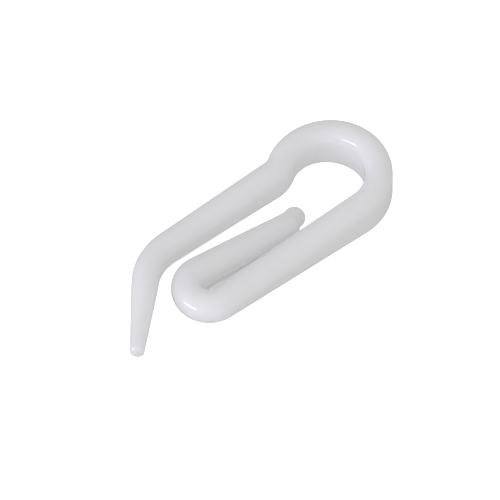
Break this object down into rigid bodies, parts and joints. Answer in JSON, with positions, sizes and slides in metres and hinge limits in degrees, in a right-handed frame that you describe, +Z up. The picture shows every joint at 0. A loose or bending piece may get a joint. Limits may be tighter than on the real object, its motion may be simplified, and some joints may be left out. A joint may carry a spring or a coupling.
{
  "type": "curtain hook",
  "caption": "White nylon curtain hook of one bent bar: a round loop that hangs from a glider, a tapered tip on a long leg, and a folded clip leg that grips the curtain tape.",
  "frame": {"origin": "centre of the bounding box's underside, where the hook lies on a surface", "axes": "+X along the legs, from the tip towards the loop; +Y across the hook, towards the leg that carries the tip; +Z up, nearly square to the plane that the bar is bent in"},
  "size_m": [0.029, 0.0108, 0.0048],
  "materials": {
    "nylon": "smooth moulded white nylon, slightly translucent, glossy"
  },
  "bodies": {
    "root": {"hook": "nylon"}
  },
  "joints": []
}
